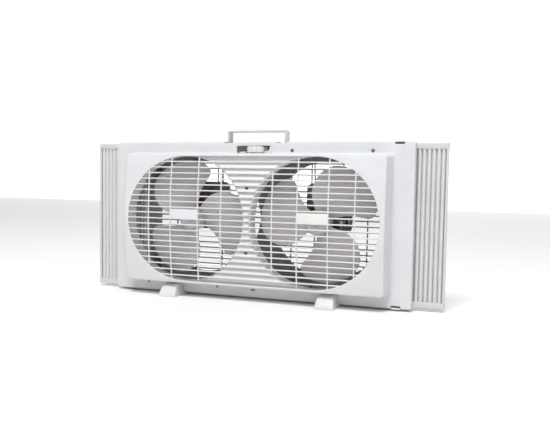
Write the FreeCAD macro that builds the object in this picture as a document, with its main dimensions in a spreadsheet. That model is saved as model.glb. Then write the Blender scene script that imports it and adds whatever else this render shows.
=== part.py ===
"""Twin window fan: two shells with slatted grilles, two propeller fans on shaded-pole motors,
two accordion window extenders, a pull-up handle, a thumbwheel switch and two clip-on feet.

Frame: millimetres, +Z up, front towards -Y, origin on the floor under the middle of the body.
"""
import FreeCAD, Part
import math
import os

import Sketcher

from FreeCAD import Placement, Rotation, Vector

doc = FreeCAD.newDocument("twin_window_fan")
sheet = doc.addObject("Spreadsheet::Sheet", "Sizes")

SIZES = (
    # shells
    ("body_width", 604.0),
    ("body_height", 300.0),
    ("body_lift", 4.0),
    ("mid_height", 154.0),
    ("frame_half", 20.0),
    ("wall", 2.5),
    ("panel_width", 516.0),
    ("panel_height", 251.0),
    ("panel_rise", 44.0),
    ("bow_radius", 879.5),
    ("slat_depth", 5.0),
    ("slat_thick", 2.4),
    ("slat_pitch", 11.0),
    ("upright_thick", 2.6),
    ("opening_radius", 120.5),
    ("fan_offset", 129.0),
    ("upright_one", 51.0),
    ("upright_two", 99.0),
    ("upright_three", 157.0),
    ("upright_four", 205.0),
    ("badge_height", 18.5),
    ("motor_plate_half", 46.0),
    ("motor_plate_low", 24.0),
    ("motor_plate_high", 72.0),
    ("motor_plate_round", 12.0),
    ("web_radius", 114.0),
    ("web_thick", 2.2),
    ("notch_inner", 43.0),
    ("notch_outer", 64.0),
    ("notch_depth", 3.0),
    ("slot_front", 3.0),
    ("slot_rear", 9.0),
    # fasteners
    ("screw_inner", 75.0),
    ("screw_outer", 227.0),
    ("screw_rise", 132.5),
    ("screw_head", 3.0),
    ("screw_shank", 1.5),
    ("web_screw_rise", 60.5),
    ("boss_radius", 3.8),
    # shroud
    ("shroud_thick", 2.2),
    ("ring_thick", 2.0),
    ("ring_back", -34.0),
    # extenders
    ("extender_reach", 357.5),
    ("rail_inner", 205.0),
    ("rail_height", 10.0),
    ("stile_width", 4.5),
    ("extender_height", 294.4),
    ("extender_front", -2.5),
    ("extender_depth", 11.0),
    ("pleat_start", 244.5),
    ("pleat_count", 13.0),
    ("pleat_sheet", 0.8),
    # handle
    ("handle_width", 122.0),
    ("handle_depth", 20.0),
    ("handle_strap", 5.0),
    ("handle_bar", 4.4),
    ("handle_top", 326.4),
    ("handle_leg", 44.4),
    # control
    ("wheel_radius", 21.0),
    ("wheel_height", 12.0),
    ("wheel_mid", 288.8),
    ("wheel_back", -4.0),
    ("window_width", 72.8),
    ("window_height", 14.1),
    ("spindle_radius", 3.0),
    # fans and motors
    ("hub_radius", 24.0),
    ("hub_front", -33.0),
    ("hub_depth", 31.0),
    ("blade_mid", -13.5),
    ("blade_rise", -0.27),
    ("blade_thick", 1.8),
    ("shaft_radius", 3.0),
    ("stack_front", 12.0),
    ("stack_depth", 20.0),
    ("coil_rise", 44.0),
    ("rotor_radius", 12.0),
    ("air_gap", 0.4),
    ("motor_screw_x", 37.5),
    ("bracket_front", 4.0),
    ("bracket_back", 38.8),
    ("bracket_thick", 2.0),
    ("bearing_radius", 6.0),
    ("running_gap", 0.05),
    ("press_gap", 0.02),
    ("switch_width", 30.0),
    ("switch_depth", 22.0),
    ("switch_low", 259.0),
    ("switch_high", 280.0),
    # cord inlet and internal leads
    ("gland_x", 110.0),
    ("gland_z", 17.0),
    ("gland_radius", 6.7),
    ("lead_radius", 1.3),
    ("lead_bend", 8.0),
    # feet
    ("foot_reach", 62.0),
    ("foot_width", 38.0),
    ("foot_toe_width", 37.0),
    ("foot_left", 165.0),
    ("foot_right", 152.0),
    ("toe_height", 24.5),
)
for row, (alias, value) in enumerate(SIZES, start=1):
    sheet.set(f"A{row}", alias)
    sheet.set(f"B{row}", str(value))
    sheet.setAlias(f"B{row}", alias)
doc.recompute()

S = {alias: getattr(sheet, alias) for alias, _ in SIZES}
ALONG_Y = Rotation(Vector(1, 0, 0), -90)
ALONG_X = Rotation(Vector(0, 1, 0), 90)
SIDES = (("left", -1), ("right", 1))
parts = []


def bind(obj, **expressions):
    """Ties properties to expressions; names use a double underscore for a dot."""
    for name, text in expressions.items():
        obj.setExpression(name.replace("__", "."), sized(text))
    return obj


def sized(text):
    """An expression with every alias pointed at the sheet."""
    words = []
    word = ""
    for char in str(text) + " ":
        if char.isalnum() or char in "_.":
            word += char
            continue
        words.append(f"Sizes.{word}" if word in S else word)
        words.append(char)
        word = ""
    return "".join(words).strip()


def box(x, y, z, name="block"):
    """A box between (low, high) expression pairs along each axis."""
    obj = doc.addObject("Part::Box", name)
    return bind(
        obj,
        Length=f"({x[1]}) - ({x[0]})",
        Width=f"({y[1]}) - ({y[0]})",
        Height=f"({z[1]}) - ({z[0]})",
        Placement__Base__x=x[0],
        Placement__Base__y=y[0],
        Placement__Base__z=z[0],
    )


def rod_y(x, y, z, radius, name="rod"):
    """A cylinder along Y between the pair y, centred on x and z."""
    obj = doc.addObject("Part::Cylinder", name)
    obj.Placement = Placement(Vector(), ALONG_Y)
    return bind(
        obj,
        Radius=radius,
        Height=f"({y[1]}) - ({y[0]})",
        Placement__Base__x=x,
        Placement__Base__y=y[0],
        Placement__Base__z=z,
    )


def drum_x(y, radius, name="drum"):
    """A long cylinder along X about mid height, used to bow the panels."""
    obj = doc.addObject("Part::Cylinder", name)
    obj.Placement = Placement(Vector(), ALONG_X)
    return bind(
        obj,
        Radius=radius,
        Height="body_width",
        Placement__Base__x="-body_width / 2",
        Placement__Base__y=y,
        Placement__Base__z="mid_height",
    )


def join(items, name="joined"):
    obj = doc.addObject("Part::MultiFuse", name)
    obj.Shapes = list(items)
    return obj


def shared(items, name="shared"):
    obj = doc.addObject("Part::MultiCommon", name)
    obj.Shapes = list(items)
    return obj


def cut(base, tools, name="trimmed"):
    obj = doc.addObject("Part::Cut", name)
    obj.Base = base
    obj.Tool = tools[0] if len(tools) == 1 else join(tools)
    return obj


def part(obj, label):
    """Marks a finished sub-part; its label names its file."""
    obj.Label = label
    parts.append(obj)
    return obj


def shaped(label, shape, place=None):
    """A sub-part whose shape is worked out by code from the sheet."""
    obj = doc.addObject("Part::Feature", label)
    obj.Shape = shape
    obj.Placement = place or Placement()
    return part(obj, label)


# ---------------------------------------------------------------- sketched bodies


def body(label):
    obj = doc.addObject("PartDesign::Body", label)
    return part(obj, label)


def sketch(owner, role, x="0", y="0", offset="0"):
    """A sketch on one of the body's own origin planes, moved by x and y in it and offset."""
    obj = owner.newObject("Sketcher::SketchObject", "outline")
    plane = next(f for f in owner.Origin.OriginFeatures if f.Role == role)
    obj.AttachmentSupport = [(plane, "")]
    obj.MapMode = "FlatFace"
    bind(
        obj,
        AttachmentOffset__Base__x=x,
        AttachmentOffset__Base__y=y,
        AttachmentOffset__Base__z=offset,
    )
    return obj


def size_constraint(outline, constraint, text):
    index = outline.addConstraint(constraint)
    name = f"size{index}"
    outline.renameConstraint(index, name)
    outline.setExpression(f"Constraints.{name}", sized(text))


def rectangle(outline, width, height):
    """A rectangle centred on the sketch's origin."""
    corners = [Vector(-1, -1), Vector(1, -1), Vector(1, 1), Vector(-1, 1)]
    lines = [
        outline.addGeometry(Part.LineSegment(corners[i], corners[(i + 1) % 4]), False)
        for i in range(4)
    ]
    for i in range(4):
        outline.addConstraint(
            Sketcher.Constraint("Coincident", lines[i], 2, lines[(i + 1) % 4], 1)
        )
        outline.addConstraint(
            Sketcher.Constraint("Horizontal" if i % 2 == 0 else "Vertical", lines[i])
        )
    outline.addConstraint(
        Sketcher.Constraint("Symmetric", lines[0], 1, lines[2], 1, -1, 1)
    )
    size_constraint(
        outline, Sketcher.Constraint("DistanceX", lines[0], 1, lines[0], 2, 2.0), width
    )
    size_constraint(
        outline, Sketcher.Constraint("DistanceY", lines[1], 1, lines[1], 2, 2.0), height
    )
    return outline


def circle(outline, radius):
    """A circle centred on the sketch's origin."""
    index = outline.addGeometry(Part.Circle(Vector(), Vector(0, 0, 1), 1.0), False)
    outline.addConstraint(Sketcher.Constraint("Coincident", index, 3, -1, 1))
    size_constraint(outline, Sketcher.Constraint("Radius", index, 1.0), radius)
    return outline


def pad(owner, outline, length, reverse=False, midplane=False):
    feature = owner.newObject("PartDesign::Pad", "pad")
    feature.Profile = outline
    feature.Reversed = reverse
    feature.Midplane = midplane
    return bind(feature, Length=length)


def pocket(owner, outline, length, reverse=False, midplane=False):
    feature = owner.newObject("PartDesign::Pocket", "pocket")
    feature.Profile = outline
    feature.Reversed = reverse
    feature.Midplane = midplane
    return bind(feature, Length=length)


# ---------------------------------------------------------------- shells and grilles

BOTTOM = "body_lift"
TOP = "body_lift + body_height"
SLATS = 21
FOOT_X = {"left": "-foot_left", "right": "foot_right"}
UPRIGHTS = ("upright_one", "upright_two", "upright_three", "upright_four")


def span(side, near, far):
    """A (low, high) pair along Y, from distances in front of or behind the middle plane."""
    if side < 0:
        return f"-({far})", f"-({near})"
    return near, far


def bowed(side, inset):
    """The drum whose face lies inset below the panel's bowed face."""
    centre = f"{side} * (frame_half + panel_rise - bow_radius)"
    return drum_x(centre, f"bow_radius - ({inset})")


def stadium(side, radius, near, far):
    """A prism along Y over both fans, with half-round ends."""
    depth = span(side, near, far)
    ends = [rod_y(f"{s} * fan_offset", depth, "mid_height", radius) for _, s in SIDES]
    middle = box(
        ("-fan_offset", "fan_offset"),
        depth,
        (f"mid_height - ({radius})", f"mid_height + ({radius})"),
    )
    return join(ends + [middle])


def slat_comb(side, plates):
    """Slats, uprights and solid plates, before they are trimmed to the panel's face."""
    depth = span(side, "frame_half + 10", "frame_half + panel_rise + 5")
    reach = "fan_offset + opening_radius + 1"
    comb = []
    for row in range(SLATS):
        z = f"mid_height + {row - SLATS // 2} * slat_pitch"
        comb.append(
            box(
                (f"-({reach})", reach),
                depth,
                (f"{z} - slat_thick / 2", f"{z} + slat_thick / 2"),
                "slat",
            )
        )
    for x in [f"{s} * {alias}" for _, s in SIDES for alias in UPRIGHTS]:
        comb.append(
            box(
                (f"{x} - upright_thick / 2", f"{x} + upright_thick / 2"),
                depth,
                (
                    "mid_height - opening_radius - 1",
                    "mid_height + opening_radius + 1",
                ),
                "upright",
            )
        )
    return join(comb + plates(depth))


def badges(depth):
    """Blank plates in front of the hubs, between the two middle uprights."""
    plates = []
    for _, s in SIDES:
        ends = (f"{s} * upright_two", f"{s} * upright_three")
        x = ends if s > 0 else ends[::-1]
        plates.append(box(x, depth, ("mid_height", "mid_height + badge_height"), "badge"))
    return plates


def motor_plates(depth):
    """Solid round-cornered plates that carry the motors."""
    plates = []
    for _, s in SIDES:
        middle = f"{s} * fan_offset"
        wide = (f"{middle} - motor_plate_half", f"{middle} + motor_plate_half")
        narrow = (f"{wide[0]} + motor_plate_round", f"{wide[1]} - motor_plate_round")
        tall = ("mid_height - motor_plate_low", "mid_height + motor_plate_high")
        short = (f"{tall[0]} + motor_plate_round", f"{tall[1]} - motor_plate_round")
        plates += [box(wide, depth, short, "plate"), box(narrow, depth, tall, "plate")]
        for x in narrow:
            plates += [rod_y(x, depth, z, "motor_plate_round", "corner") for z in short]
    return plates


def rear_web():
    """Plate just ahead of the rear slats, open behind each fan."""
    depth = ("frame_half + 10", "frame_half + panel_rise + 6")
    holes = [rod_y(f"{s} * fan_offset", depth, "mid_height", "web_radius") for _, s in SIDES]
    plate = shared(
        [
            cut(stadium(1, "opening_radius + 0.5", *depth), holes),
            bowed(1, "slat_depth - 0.2"),
        ]
    )
    return cut(plate, [bowed(1, "slat_depth - 0.2 + web_thick")])


def tray(side, side_gap):
    """The shallow frame with its raised bowed panel, before the openings are cut."""
    depth = span(side, "0", "frame_half")
    hollow = span(side, "-1", "frame_half - wall")
    outer = box(("-body_width / 2", "body_width / 2"), depth, (BOTTOM, TOP))
    inner = box(
        ("wall - body_width / 2", "body_width / 2 - wall"),
        hollow,
        (f"{BOTTOM} + wall", f"{TOP} - wall"),
    )
    raised = span(side, "frame_half - wall", "frame_half + panel_rise + 5")
    cavity = span(side, "frame_half - 2 * wall", "frame_half + panel_rise + 5")
    panel = shared(
        [
            box(
                ("-panel_width / 2", "panel_width / 2"),
                raised,
                ("mid_height - panel_height / 2", "mid_height + panel_height / 2"),
            ),
            bowed(side, "0"),
        ]
    )
    void = shared(
        [
            box(
                ("wall - panel_width / 2", "panel_width / 2 - wall"),
                cavity,
                (
                    "mid_height - panel_height / 2 + wall",
                    "mid_height + panel_height / 2 - wall",
                ),
            ),
            bowed(side, "wall"),
        ]
    )
    gaps = [
        box(
            (f"{s} * body_width / 2 - wall - 1", f"{s} * body_width / 2 + wall + 1"),
            span(side, "-1", side_gap),
            (f"{BOTTOM} + wall", f"{TOP} - wall"),
        )
        for _, s in SIDES
    ]
    floors = []
    for _, s in SIDES:
        x = leg_pair(s, "notch_inner - wall", "notch_outer + wall")
        z = (f"{TOP} - notch_depth - wall", f"{TOP} - wall / 2")
        floors.append(box(x, span(side, "0", "frame_half - 1"), z, "notch_floor"))
        x = leg_pair(s, "notch_inner", "notch_outer")
        z = (f"{TOP} - notch_depth", f"{TOP} + 1")
        gaps.append(box(x, span(side, "-1", "frame_half + 1"), z, "notch"))
    return join([cut(outer, [inner]), panel] + floors), [void] + gaps


def leg_pair(side, near, far):
    """A (low, high) pair along X on one side of the middle."""
    if side < 0:
        return f"-({far})", f"-({near})"
    return near, far


def handle_slots(side):
    """Half of each slot that the handle's legs pass through."""
    return [
        box(
            (
                f"{s} * (handle_width - handle_strap) / 2 - handle_strap / 2 - 0.4",
                f"{s} * (handle_width - handle_strap) / 2 + handle_strap / 2 + 0.4",
            ),
            span(side, "-1", "handle_depth / 2 + 0.4"),
            (f"{TOP} - notch_depth - wall - 1", f"{TOP} + 1"),
        )
        for _, s in SIDES
    ]


def foot_slots(side):
    """Half of each slot that a foot's tongue snaps into."""
    return [
        box(
            (f"{x} - 8.4", f"{x} + 8.4"),
            span(side, "-1", "4.4"),
            (f"{BOTTOM} - 1", f"{BOTTOM} + wall + 1"),
        )
        for x in FOOT_X.values()
    ]


SCREW_PLACES = (
    ("screw_inner", "mid_height + screw_rise"),
    ("screw_outer", "mid_height + screw_rise"),
    ("-screw_inner", "mid_height - screw_rise"),
    ("-screw_outer", "mid_height - screw_rise"),
)
LATCH_X = ("266", "283")


def grille(side, plates):
    """The slatted face, trimmed to the panel's bow and to the opening."""
    comb = slat_comb(side, plates)
    clip = stadium(side, "opening_radius + 0.5", "20", "frame_half + panel_rise + 6")
    return shared([cut(comb, [bowed(side, "slat_depth")]), bowed(side, "0"), clip])


def front_shell():
    frame, voids = tray(-1, "slot_front")
    face = ("-frame_half - 1", "wall + 1 - frame_half")
    window = box(
        ("-window_width / 2", "window_width / 2"),
        face,
        ("wheel_mid - window_height / 2", "wheel_mid + window_height / 2"),
    )
    drain = box(("-4.5", "4.5"), face, ("mid_height - 136.5", "mid_height - 133.5"))
    recesses = []
    for x, z in SCREW_PLACES:
        recesses.append(
            rod_y(x, ("-frame_half - 1", "1.3 - frame_half"), z, "screw_head + 0.3")
        )
        recesses.append(rod_y(x, face, z, "screw_shank + 0.3"))
    latches = [
        box(LATCH_X, ("-frame_half - 1", "1"), (f"{TOP} - 5.5", f"{TOP} + 1")),
        box(LATCH_X, ("-frame_half - 1", "1"), (f"{BOTTOM} - 1", f"{BOTTOM} + 5.5")),
    ]
    opening = stadium(-1, "opening_radius", "frame_half + 10", "frame_half + panel_rise + 6")
    cuts = voids + [window, drain, opening] + recesses + latches
    shell = cut(frame, cuts + handle_slots(-1) + foot_slots(-1))
    lip_y = ("0.6 - frame_half", "5.8 - frame_half")
    low = "wheel_mid - window_height / 2 - 1.2"
    high = "wheel_mid + window_height / 2 + 1"
    lips = [
        box(("19.2", "31"), lip_y, (low, "wheel_mid - 3.8"), "window_lip"),
        box(("30.4", "37.5"), lip_y, (low, high), "window_cheek"),
        box(("-30.6", "-19.2"), lip_y, (low, "wheel_mid - 4.1"), "window_lip"),
    ]
    return part(join([shell, grille(-1, badges)] + lips), "front_shell")


def rear_shell():
    frame, voids = tray(1, "slot_rear")
    gland_hole = rod_y("gland_x", ("10", "frame_half + 1"), "gland_z", "gland_radius + 0.3")
    opening = stadium(1, "opening_radius", "frame_half + 10", "frame_half + panel_rise + 6")
    cuts = voids + [opening, gland_hole] + handle_slots(1) + foot_slots(1)
    shell = cut(frame, cuts)
    solids = [shell, grille(1, motor_plates), rear_web()]
    bores = []
    inner_face = ("1.2 + wall - frame_half", "frame_half - wall + 0.5")
    for x, z in SCREW_PLACES:
        solids.append(rod_y(x, inner_face, z, "boss_radius", "boss"))
        bores.append(rod_y(x, ("-frame_half", "frame_half - 2 * wall"), z, "screw_shank"))
    for _, s in SIDES:
        for dx in ("-motor_screw_x", "motor_screw_x"):
            x = f"{s} * fan_offset + {dx}"
            solids.append(rod_y(x, ("bracket_back", "60"), "mid_height", "4.5", "motor_post"))
            bores.append(rod_y(x, ("bracket_back - 1", "52"), "mid_height", "screw_shank"))
        x = (f"{s} * 238.5 - 23.5", f"{s} * 238.5 + 23.5")
        for low, high in (
            (f"{TOP} - 15.5", f"{TOP} - 13.1"),
            (f"{BOTTOM} + 13.1", f"{BOTTOM} + 15.5"),
        ):
            solids.append(box(x, ("extender_front", "18"), (low, high), "ledge"))
        x = (f"{s} * (pleat_start - 2.1) - 1.4", f"{s} * (pleat_start - 2.1) + 1.4")
        tall = ("mid_height - 122", "mid_height + 122")
        wall_back = [box(x, ("0", "62"), tall, "pleat_anchor"), bowed(1, "1")]
        solids.append(shared(wall_back))
    shelf_x = ("-switch_width / 2", "switch_width / 2")
    shelf_y = ("switch_depth / 2", "frame_half - wall + 0.5")
    solids.append(box(shelf_x, shelf_y, ("switch_low", "switch_high + 1"), "switch_shelf"))
    solids.append(
        box(
            ("266.5", "282.5"),
            ("-frame_half - 0.5", "0.5"),
            (f"{TOP} - 2.1", f"{TOP} + 1"),
            "latch",
        )
    )
    solids.append(
        box(
            ("266.5", "282.5"),
            ("-frame_half - 0.5", "0.5"),
            (f"{BOTTOM} - 1", f"{BOTTOM} + 2.1"),
            "latch",
        )
    )
    return part(cut(join(solids), bores), "rear_shell")


def shroud():
    """Plate just behind the front slats, with a ring round each fan."""
    gap = "slat_depth + 0.3"
    plate = cut(
        shared(
            [
                box(
                    ("3 - panel_width / 2", "panel_width / 2 - 3"),
                    ("-frame_half - panel_rise", "-frame_half - 15"),
                    (
                        "mid_height - panel_height / 2 + 3",
                        "mid_height + panel_height / 2 - 3",
                    ),
                ),
                bowed(-1, gap),
            ]
        ),
        [bowed(-1, f"{gap} + shroud_thick")],
    )
    reach = ("-frame_half - panel_rise", "ring_back")
    rings = shared(
        [
            join(
                [
                    rod_y(f"{s} * fan_offset", reach, "mid_height", "opening_radius + ring_thick")
                    for _, s in SIDES
                ]
            ),
            bowed(-1, gap),
        ]
    )
    through = ("-frame_half - panel_rise - 1", "0")
    bores = [
        rod_y(f"{s} * fan_offset", through, "mid_height", "opening_radius") for _, s in SIDES
    ]
    for s in (-1, 1):
        z = f"mid_height + {s} * web_screw_rise"
        bores.append(rod_y("0", ("-70", "-40"), z, "screw_shank + 0.3"))
    return part(cut(join([plate, rings]), bores), "shroud_plate")


def centre_brace():
    """Upright stiffener behind the web; it takes the two web screws."""
    beam = shared(
        [
            box(
                ("-5", "5"),
                ("-60", "-42"),
                ("mid_height - panel_height / 2 + wall", "mid_height + panel_height / 2 - wall"),
            ),
            bowed(-1, "slat_depth + 0.6 + shroud_thick"),
        ]
    )
    bores = [
        rod_y("0", ("-70", "-46"), f"mid_height + {s} * web_screw_rise", "screw_shank")
        for s in (-1, 1)
    ]
    return part(cut(beam, bores), "centre_brace")


def screws(label, places, head_y, shank_y, head="screw_head", shank="screw_shank"):
    """A group of identical screws along Y: a head, a cross recess and a shank."""
    group = doc.addObject("Part::Compound", "screws")
    links = []
    for x, z in places:
        cap = rod_y(x, head_y, z, head)
        stem = rod_y(x, shank_y, z, shank)
        recess = (f"{head_y[0]} - 1", f"{head_y[0]} + 0.6")
        slots = [
            box((f"{x} - {a}", f"{x} + {a}"), recess, (f"{z} - {b}", f"{z} + {b}"))
            for a, b in ((1.8, 0.35), (0.35, 1.8))
        ]
        links.append(cut(join([cap, stem]), slots))
    group.Links = links
    return part(group, label)


front_shell()
rear_shell()
shroud()
centre_brace()
head = ("0.1 - frame_half", "1.3 - frame_half")
screws("front_screws", SCREW_PLACES, head, ("1.2 - frame_half", "0"))
web_places = [("0", f"mid_height + {s} * web_screw_rise") for s in (-1, 1)]
web_sag = "(web_screw_rise - screw_head) * (web_screw_rise - screw_head) / (2 * bow_radius)"
web_face = f"{web_sag} + slat_depth + 0.25 - frame_half - panel_rise"
screws(
    "web_screws",
    web_places,
    (f"{web_face} - 1.5", web_face),
    (f"{web_face} - 0.2", "-47"),
)


# ---------------------------------------------------------------- extenders


def extender_frame(name, side):
    """Sliding U frame: two rails and the outer stile."""
    owner = body(f"extender_frame_{name}")
    back = "-(extender_front + extender_depth)"
    middle = f"{side} * (extender_reach + rail_inner) / 2"
    outer = sketch(owner, "XZ_Plane", middle, "mid_height", back)
    rectangle(outer, "extender_reach - rail_inner", "extender_height")
    pad(owner, outer, "extender_depth")
    inner_middle = f"{side} * (extender_reach - stile_width + rail_inner - 2) / 2"
    inner = sketch(owner, "XZ_Plane", inner_middle, "mid_height", back)
    rectangle(
        inner,
        "extender_reach - stile_width - rail_inner + 2",
        "extender_height - 2 * rail_height",
    )
    pocket(owner, inner, "extender_depth + 1", reverse=True)
    return owner


PLEAT_NOTCH = 36.0
PLEAT_NOTCH_RISE = 3.2


def accordion(name, side):
    """Pleated sheet between the shell and the stile, lower where it passes the ledges."""
    start = S["pleat_start"]
    end = S["extender_reach"] - S["stile_width"] - 0.4
    folds = int(S["pleat_count"]) * 2
    step = (end - start) / folds
    front = S["extender_front"] + 0.3
    back = S["extender_front"] + S["extender_depth"] - 0.3
    slant = math.hypot(step, back - front) / step
    half = S["pleat_sheet"] * slant / 2
    ridge = [
        (start + i * step, back - half if i % 2 == 0 else front + half)
        for i in range(folds + 1)
    ]
    outline = [(x, y - half) for x, y in ridge] + [(x, y + half) for x, y in ridge[::-1]]
    low = S["mid_height"] - S["extender_height"] / 2 + S["rail_height"] + 0.5
    high = S["mid_height"] + S["extender_height"] / 2 - S["rail_height"] - 0.5
    points = [Vector(side * x, y, low) for x, y in outline]
    face = Part.Face(Part.makePolygon(points + [points[0]]))
    sheet = face.extrude(Vector(0, 0, high - low))
    inner_corner = Part.makeBox(
        PLEAT_NOTCH, 40, 40, Vector(start - 2 if side > 0 else 2 - start - PLEAT_NOTCH, -20, 0)
    )
    above = inner_corner.translated(Vector(0, 0, high - PLEAT_NOTCH_RISE))
    below = inner_corner.translated(Vector(0, 0, low + PLEAT_NOTCH_RISE - 40))
    return shaped(f"accordion_{name}", sheet.cut([above, below]))


for name, side in SIDES:
    extender_frame(name, side)
    accordion(name, side)

# ---------------------------------------------------------------- handle and control


def handle():
    """Squared strap whose legs slide down into the body, with barbs that stop it lifting out."""
    owner = body("handle")
    middle = "handle_top - handle_leg / 2"
    outer = sketch(owner, "XZ_Plane", "0", middle)
    rectangle(outer, "handle_width", "handle_leg")
    pad(owner, outer, "handle_depth", midplane=True)
    inner = sketch(owner, "XZ_Plane", "0", f"{middle} - handle_bar / 2 - 1")
    rectangle(inner, "handle_width - 2 * handle_strap", "handle_leg - handle_bar + 2")
    pocket(owner, inner, "handle_depth + 2", midplane=True)
    for _, s in SIDES:
        barb = sketch(
            owner,
            "XZ_Plane",
            f"{s} * (handle_width / 2 + 0.5)",
            f"{TOP} - notch_depth - wall - 0.3 - 3",
        )
        rectangle(barb, "3", "6")
        pad(owner, barb, "handle_depth - 4", midplane=True)
    return owner


def thumbwheel():
    owner = body("thumbwheel")
    bind(owner, Placement__Base__y="wheel_back", Placement__Base__z="wheel_mid - wheel_height / 2")
    pad(owner, circle(sketch(owner, "XY_Plane"), "wheel_radius"), "wheel_height")
    bore = circle(sketch(owner, "XY_Plane"), "spindle_radius + press_gap")
    pocket(owner, bore, "wheel_height + 1", reverse=True)
    scallop = sketch(owner, "XY_Plane", "0.42 * (wheel_radius + 4)", "-0.9 * (wheel_radius + 4)")
    notch = pocket(owner, circle(scallop, "6"), "wheel_height + 1", reverse=True)
    pattern = owner.newObject("PartDesign::PolarPattern", "scallops")
    pattern.Originals = [notch]
    axis = next(f for f in owner.Origin.OriginFeatures if f.Role == "Z_Axis")
    pattern.Axis = (axis, [""])
    pattern.Angle = 360
    pattern.Occurrences = 8
    owner.Tip = pattern
    return owner


def switch():
    """Rotary switch under the wheel: fixed body and turning spindle."""
    owner = body("switch_body")
    outline = sketch(owner, "XY_Plane", "0", "0", "switch_low")
    rectangle(outline, "switch_width", "switch_depth")
    pad(owner, outline, "switch_high - switch_low")
    bore = sketch(owner, "XY_Plane", "0", "wheel_back", "switch_low + 4")
    circle(bore, "spindle_radius + running_gap")
    pocket(owner, bore, "switch_high - switch_low", reverse=True)

    rotor = body("switch_rotor")
    outline = sketch(rotor, "XY_Plane", "0", "wheel_back", "switch_low + 4.3")
    circle(outline, "spindle_radius")
    pad(rotor, outline, "wheel_mid + wheel_height / 2 - switch_low - 4.3")


handle()
thumbwheel()
switch()

# ---------------------------------------------------------------- fans

HUB_BACK = "(hub_front + hub_depth)"
BLADE_OUTLINE = (
    # radius, trailing and leading edge in degrees from the blade's middle
    (22.0, -37.0, 47.0),
    (34.0, -38.5, 49.0),
    (45.0, -39.5, 49.0),
    (56.0, -41.5, 48.0),
    (66.0, -44.5, 45.0),
    (76.0, -47.0, 41.0),
    (88.0, -49.5, 35.5),
    (98.0, -49.0, 29.0),
    (104.0, -45.5, 25.0),
    (109.0, -39.5, 20.0),
    (112.5, -32.0, 14.0),
    (115.5, -20.0, 4.0),
)
BLADE_STEPS = 8
BLADE_TURNS = {"left": (121.8, 1.8, -118.2), "right": (55.2, 175.2, -64.8)}


def blade(turn):
    """One twisted blade about the Y axis, through arcs of growing radius."""
    grid = []
    for radius, low, high in BLADE_OUTLINE:
        row = []
        for i in range(BLADE_STEPS + 1):
            angle = low + (high - low) * i / BLADE_STEPS
            slope = math.radians(turn + angle)
            depth = S["blade_mid"] + S["blade_rise"] * angle
            row.append(Vector(radius * math.cos(slope), depth, radius * math.sin(slope)))
        grid.append(row)
    surface = Part.BSplineSurface()
    surface.interpolate(grid)
    return surface.toShape().extrude(Vector(0, S["blade_thick"], 0))


def fan_blade(name, side):
    """Cup-shaped hub with three blades."""
    front = S["hub_front"]
    radius = S["hub_radius"]
    depth = S["hub_depth"]
    ahead = Vector(0, 1, 0)
    cup = Part.makeCylinder(radius, depth, Vector(0, front, 0), ahead)
    hollow = Part.makeCylinder(radius - 2.5, depth, Vector(0, front + 3, 0), ahead)
    boss = Part.makeCylinder(7.0, depth - 2, Vector(0, front + 1, 0), ahead)
    bore = Part.makeCylinder(
        S["shaft_radius"] + S["press_gap"], depth + 10, Vector(0, front - 1, 0), ahead
    )
    blades = [blade(turn) for turn in BLADE_TURNS[name]]
    trim = Part.makeCylinder(radius - 1.0, 80, Vector(0, -60, 0), ahead)
    fan = cup.cut(hollow).fuse([boss] + [piece.cut(trim) for piece in blades]).cut(bore)
    centre = Vector(side * S["fan_offset"], 0, S["mid_height"])
    return shaped(f"fan_blade_{name}", fan, Placement(centre, Rotation()))


def blade_nut(name, side):
    """Hexagonal nut on the shaft's front end."""
    prism = doc.addObject("Part::Prism", "hexagon")
    prism.Polygon = 6
    prism.Circumradius = 6.0
    prism.Height = 4.0
    prism.Placement = Placement(Vector(), ALONG_Y)
    x = f"{side} * fan_offset"
    bind(
        prism,
        Placement__Base__x=x,
        Placement__Base__y="hub_front - 4",
        Placement__Base__z="mid_height",
    )
    bore = rod_y(x, ("hub_front - 5", "hub_front + 1"), "mid_height", "shaft_radius + press_gap")
    return part(cut(prism, [bore]), f"blade_nut_{name}")


# ---------------------------------------------------------------- motors


def plate_y(label, x, z, size, depth, made=None):
    """A body, or one more pad on it, between the pair depth along Y."""
    owner = made or body(label)
    outline = sketch(owner, "XZ_Plane", x, z, f"-({depth[1]})")
    rectangle(outline, *size)
    pad(owner, outline, f"({depth[1]}) - ({depth[0]})")
    return owner


def hole_y(owner, x, z, radius):
    """A round hole right through the body along Y."""
    outline = circle(sketch(owner, "XZ_Plane", x, z), radius)
    return pocket(owner, outline, "200", midplane=True)


def window_y(owner, x, z, size):
    """A rectangular hole right through the body along Y."""
    outline = rectangle(sketch(owner, "XZ_Plane", x, z), *size)
    return pocket(owner, outline, "200", midplane=True)


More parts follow.
